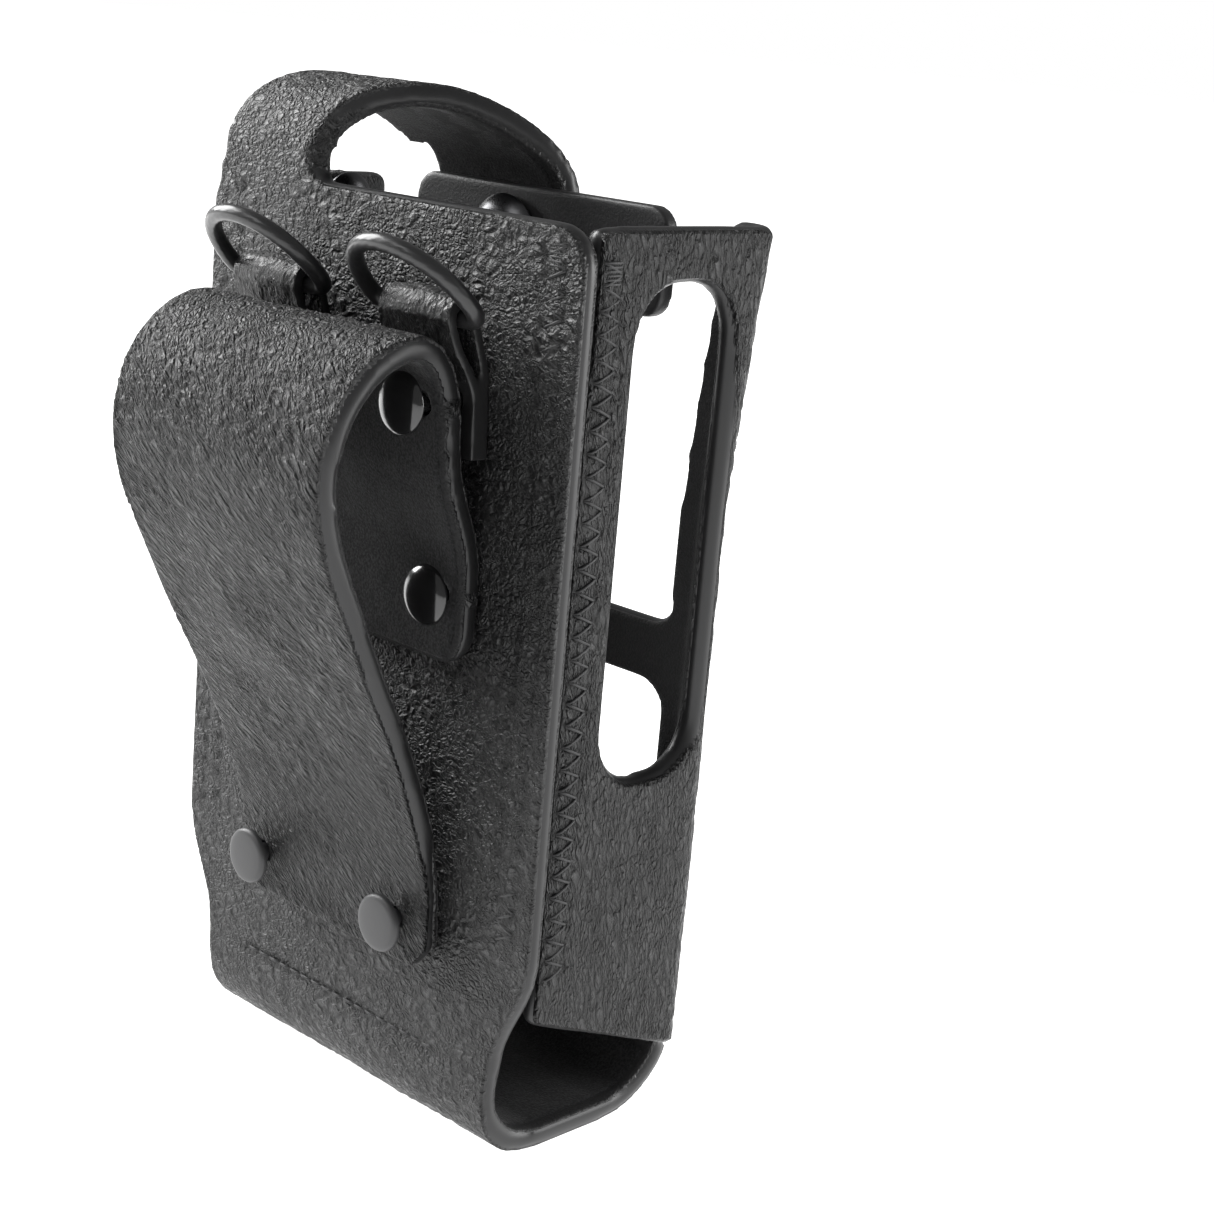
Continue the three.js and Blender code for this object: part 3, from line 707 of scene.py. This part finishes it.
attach(felt("pocket_felt", "back_lining"), "case")
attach(felt("belt_loop_felt", "belt_loop_lining", 0.45 * MM), "case")
strap_felt = felt("strap_felt", "strap_lining", 0.4 * MM)
ease_shoulder(strap_felt)
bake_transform(strap_felt)

# ---- Tee ----
# A smooth strip, sewn behind the crossbar, rises up the open front and ends in a cross band,
# which carries the fixed half of the snap.


def smooth_leather_material():
    material, tree, shader, place = new_material("smooth_leather")
    cloud = noise(tree, scaled_place(tree, place, (5, 5, 5)), 1.0, 4).outputs["Fac"]
    pores = noise(tree, scaled_place(tree, place, (0.4, 0.4, 0.4)), 1.0, 3).outputs["Fac"]
    tree.links.new(mix_colour(tree, cloud, grey(0.012), grey(0.022)), shader.inputs["Base Color"])
    tree.links.new(maths(tree, "MULTIPLY_ADD", cloud, 0.2, 0.36), shader.inputs["Roughness"])
    bump(tree, shader, pores, 0.05 * MM)
    return material


tee = copy_of("front_tee_strip", "front_tee")
swell(tee, 0.1 * MM)
remesh(tee, 0.45 * MM)
finish_with(tee, "SMOOTH", factor=0.5, iterations=8)
tee.data.materials.append(smooth_leather_material())
smooth_shade(tee)
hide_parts("front_tee")
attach(tee, "case")

# ---- Rivets and snap ----
# Pressed metal caps on a shank: glossy black domes inside the belt loop and on the side tab,
# flat matt caps at the loop's foot, and a four-part snap in plated metal.


def metal_material(name, tone, rough, metallic, coat=0.0):
    material, tree, shader, place = new_material(name)
    rub = noise(tree, scaled_place(tree, place, (2.5, 2.5, 2.5)), 1.0, 5).outputs["Fac"]
    tree.links.new(mix_colour(tree, rub, grey(tone * 0.85), grey(tone * 1.15)), shader.inputs["Base Color"])
    tree.links.new(maths(tree, "MULTIPLY_ADD", rub, 0.16, rough), shader.inputs["Roughness"])
    shader.inputs["Metallic"].default_value = metallic
    shader.inputs["Coat Weight"].default_value = coat
    shader.inputs["Coat Roughness"].default_value = 0.08
    grit = noise(tree, scaled_place(tree, place, (0.3, 0.3, 0.3)), 1.0, 2).outputs["Fac"]
    bump(tree, shader, grit, 0.01 * MM)
    return material


gloss_black = metal_material("gloss_black_paint", 0.008, 0.10, 0.0, 0.6)
matt_black = metal_material("matt_black_paint", 0.034, 0.36, 0.0)
black_nickel = metal_material("black_nickel", 0.07, 0.2, 1.0)
bright_plate = metal_material("bright_plate", 0.62, 0.10, 1.0)


def turn_up(name, rings, sides=48):
    """Raises a round piece from its lowest ring. Each ring is a radius and a height, in mm."""
    radius, height = rings[0]
    deselect()
    bpy.ops.mesh.primitive_circle_add(
        vertices=sides, radius=radius * MM, fill_type="NGON", location=(0, 0, height * MM)
    )
    piece = bpy.context.object
    piece.name = name
    bpy.ops.object.mode_set(mode="EDIT")
    bpy.ops.mesh.select_all(action="SELECT")
    for wider, higher in rings[1:]:
        bpy.ops.mesh.extrude_region_move(
            TRANSFORM_OT_translate={"value": (0, 0, (higher - height) * MM)}
        )
        bpy.ops.transform.resize(value=(wider / radius, wider / radius, 1))
        radius, height = wider, higher
    bpy.ops.mesh.select_all(action="SELECT")
    bpy.ops.mesh.normals_make_consistent(inside=False)
    bpy.ops.object.mode_set(mode="OBJECT")
    return piece


def set_on(piece, place, facing):
    """Puts the turned piece's foot at a place, with its axis along a direction."""
    use(piece)
    turn = Vector(facing).to_track_quat("Z", "Y").to_matrix().to_4x4()
    piece.data.transform(Matrix.Translation(place) @ turn)
    piece.matrix_world = Matrix.Identity(4)
    bpy.ops.object.shade_smooth_by_angle(angle=math.radians(35))


def dome(radius, rise, base, steps=9):
    """Rings of a low dome that starts nearly upright at its rim."""
    rings = []
    for i in range(steps):
        angle = math.radians(88 * i / (steps - 1))
        rings.append((radius * math.cos(angle), base + rise * math.sin(angle)))
    return rings


SHANK_RADIUS = 1.4
WASHER_RINGS = [(2.2, -0.9), (3.2, -0.6), (3.4, 0.0), (3.3, 0.2), (SHANK_RADIUS, 0.2)]


def rivet(node, body, cap_rings, material, slot, facing, shank, inside):
    """A cap, its shank, and the washer on the far side, which stands on the built-up flesh side."""
    low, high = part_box(node)
    middle = (low + high) / 2
    rings = [(r, h - inside) for r, h in WASHER_RINGS] + [(SHANK_RADIUS, shank)]
    rings += [(r, shank + h) for r, h in cap_rings]
    piece = turn_up(node + "_turned", rings)
    foot = [middle.x, middle.y, middle.z]
    axis = 1 if facing[1] else 0
    foot[axis] = low[axis] + inside * MM if facing[axis] > 0 else high[axis] - inside * MM
    set_on(piece, foot, facing)
    piece.data.materials.append(material)
    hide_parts(node)
    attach(piece, body)


DOME_CAP = [(3.9, 0), (4.2, 0.12)] + dome(4.2, 1.55, 0.35)
FLAT_CAP = [(3.9, 0), (4.2, 0.15), (4.2, 0.55), (4.05, 0.85)]
FLAT_CAP += [(3.75, 1.05), (3.3, 1.15), (2.0, 1.24), (0.2, 1.28)]
DOME_RISE = 1.9
FLAT_RISE = 1.3
WASHER = 1.1
for node in CAPS + FOOT_CAPS:
    low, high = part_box(node)
    rise = DOME_RISE if node in CAPS else FLAT_RISE
    sunk = 0.8 if "upper" in node else 0.3
    length = (high.y - low.y) / MM - rise - WASHER - sunk
    cap = DOME_CAP if node in CAPS else FLAT_CAP
    finish = (gloss_black, "gloss_black_cap") if node in CAPS else (matt_black, "matt_black_cap")
    rivet(node, "case", cap, *finish, (0, 1, 0), length, WASHER)

SIDE_CAP = [(4.2, 0), (4.5, 0.2), (4.5, 0.5), (4.0, 1.0), (3.0, 1.5), (1.8, 1.85), (0.3, 2.0)]
rivet("side_rivet", "case", SIDE_CAP, black_nickel, "gloss_black_cap", (-1, 0, 0), 3.0, 0.9)


def snap_part(node, body, rings, material):
    """A turned half of the snap, drawn from its wall side; its axis points back at the wall."""
    low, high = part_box(node)
    piece = turn_up(node + "_turned", rings)
    set_on(piece, ((low.x + high.x) / 2, low.y, (low.z + high.z) / 2), (0, 1, 0))
    piece.data.materials.append(material)
    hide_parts(node)
    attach(piece, body)


SNAP_POST = [(1.2, 0), (1.4, 0.2), (1.4, 5.3), (6.3, 5.3), (6.75, 5.6), (6.8, 6.0), (6.5, 6.5)]
SNAP_POST += [(5.2, 7.4), (4.6, 7.7), (3.0, 7.8), (2.6, 7.6), (2.3, 6.9), (0.2, 6.9)]
snap_part("tee_snap_post", "case", SNAP_POST, black_nickel)
SNAP_CAP = [(0.3, 0), (2.6, 0.08), (4.8, 0.65), (5.9, 1.3), (6.3, 1.8)]
SNAP_CAP += [(6.3, 2.1), (5.9, 2.2), (4.7, 2.2), (4.7, 3.0), (0.3, 3.0)]
snap_part("strap_snap_cap", "strap", SNAP_CAP, matt_black)

for node, body in (("tee_snap_stud", "case"), ("strap_snap_socket", "strap")):
    ring = copy_of(node + "_turned", node)
    finish_with(ring, "BEVEL", width=0.12 * MM, segments=2, limit_method="ANGLE")
    use(ring)
    bpy.ops.object.shade_smooth_by_angle(angle=math.radians(40))
    ring.data.materials.append(bright_plate)
    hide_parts(node)
    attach(ring, body)

# ---- Ring tabs and D-rings ----
# A short strip folds round each ring's bar, and both its ends are riveted under the belt loop.
# The rings are bent from wire and painted satin black; they swing in the fold.


def puff(tab, node):
    """Rounds the fold's outer face across its width, as the ring's bar fills it."""
    low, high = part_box(node)
    spots, normals = spots_of(tab)
    across = np.abs(spots[:, 0] - (low.x + high.x) / 2) / ((high.x - low.x) / 2)
    outward = ramp(normals[:, 1] * 0.6 + normals[:, 2] * 0.8, 0.1, 0.8)
    upper = ramp(spots[:, 2], high.z - 0.35 * (high.z - low.z), high.z - 0.1 * (high.z - low.z))
    push(tab, 0.7 * MM * np.clip(1 - across**2, 0, 1) * outward * upper)


tab_leather = leather_material(
    "tab_leather", (0.9, 1.6, 1.6), warp=1.0, relief=0.16, tone=0.012, rough=0.24
)
satin_black = metal_material("satin_black_paint", 0.014, 0.26, 0.0, 0.15)
for hand in ("left", "right"):
    tab = copy_of(f"ring_tab_{hand}_strip", f"ring_tab_{hand}")
    swell(tab, 0.34 * MM)
    remesh(tab, 0.3 * MM)
    swell(tab, -0.2 * MM)
    finish_with(tab, "SMOOTH", factor=0.5, iterations=6)
    skin = mark_edges(tab, 1.5 * MM, 6, flesh=None)
    puff(tab, f"ring_tab_{hand}")
    wrinkle(tab, skin, (1.4, 3.0, 3.0), 0.14 * MM, roll=0.05 * MM, seed=13)
    tab.data.materials.append(tab_leather)
    smooth_shade(tab)
    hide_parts(f"ring_tab_{hand}")
    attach(tab, "case")

    ring = copy_of(f"d_ring_{hand}_wire", f"d_ring_{hand}")
    swell(ring, 0.05 * MM)
    finish_with(ring, "SUBSURF", levels=2, render_levels=2)
    ring.data.materials.append(satin_black)
    smooth_shade(ring)
    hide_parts(f"d_ring_{hand}")
    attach(ring, f"ring_{hand}")

# ---- Threads ----
# Waxed black thread: zigzag rows down both sides of each side seam, and straight rows across the
# back, the front and the tee. Each stitch dips into its needle holes and lies on the leather.
THREAD = 0.24 * MM
RUNNING_STITCH = 2.6 * MM
STITCH_PATH = ((0.0, -0.6), (0.1, 0.0), (0.28, 0.16), (0.72, 0.16), (0.9, 0.0), (1.0, -0.6))


def thread_material():
    material, tree, shader, place = new_material("waxed_thread")
    twist = noise(tree, scaled_place(tree, place, (0.25, 0.25, 0.5)), 1.0, 3).outputs["Fac"]
    tree.links.new(mix_colour(tree, twist, grey(0.006), grey(0.022)), shader.inputs["Base Color"])
    tree.links.new(maths(tree, "MULTIPLY_ADD", twist, 0.2, 0.4), shader.inputs["Roughness"])
    bump(tree, shader, twist, 0.08 * MM)
    return material


waxed_thread = thread_material()


def stitches(name, node, runs, outward):
    """runs is a list of stitches, each from one hole to another; outward points out of the leather."""
    curve = bpy.data.curves.new(name, "CURVE")
    curve.dimensions = "3D"
    curve.bevel_depth = THREAD
    curve.bevel_resolution = 1
    curve.use_fill_caps = True
    for start, end in runs:
        line = curve.splines.new("POLY")
        line.points.add(len(STITCH_PATH) - 1)
        for point, (share, lift) in zip(line.points, STITCH_PATH):
            spot = Vector(start).lerp(Vector(end), share) + Vector(outward) * lift * MM
            point.co = (*spot, 1)
    piece = add_piece(name, curve)
    use(piece)
    bpy.ops.object.convert(target="MESH")
    piece = bpy.context.object
    piece.data.materials.append(waxed_thread)
    bpy.ops.object.shade_smooth()
    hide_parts(node)
    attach(piece, "case")


def bar_tack(holes):
    """Close parallel stitches over the last two zigzags, which lock the top of a seam."""
    left, right, top = holes[-1].copy(), holes[-2].copy(), holes[-1][2]
    rows = []
    for drop in np.arange(0, 2 * STITCH_RISE, 0.55 * MM):
        left[2] = right[2] = top - drop
        rows.append((left.copy(), right.copy()))
    return rows


for hand, side in (("left", 1), ("right", -1)):
    for wall, outward in (("back", (0, 1, 0)), ("side", (side, 0, 0))):
        node = f"seam_thread_{hand}_{wall}"
        sunk = 0.42 if wall == "back" else 0.22
        holes = zigzag_holes(node) - np.array(outward) * sunk * MM
        runs = list(zip(holes[:-1], holes[1:])) + bar_tack(holes)
        stitches(f"zigzag_{hand}_{wall}", node, runs, outward)


def running_stitches(name, node, outward, face):
    """A straight seam, with a short gap at each needle hole."""
    low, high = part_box(node)
    z = (low.z + high.z) / 2
    holes = along((low.x, face, z), (high.x, face, z), RUNNING_STITCH)
    pairs = zip(holes[:-1], holes[1:])
    runs = [(a * 0.97 + b * 0.03, a * 0.03 + b * 0.97) for a, b in pairs]
    stitches(name, node, runs, outward)


FRONT_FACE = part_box("front_seam_thread")[1].y + 0.3 * MM
running_stitches("foot_row", "foot_thread", (0, 1, 0), WALL_FACE - 0.25 * MM)
running_stitches("front_row", "front_seam_thread", (0, -1, 0), FRONT_FACE)
running_stitches("tee_row", "tee_thread", (0, -1, 0), FRONT_FACE)
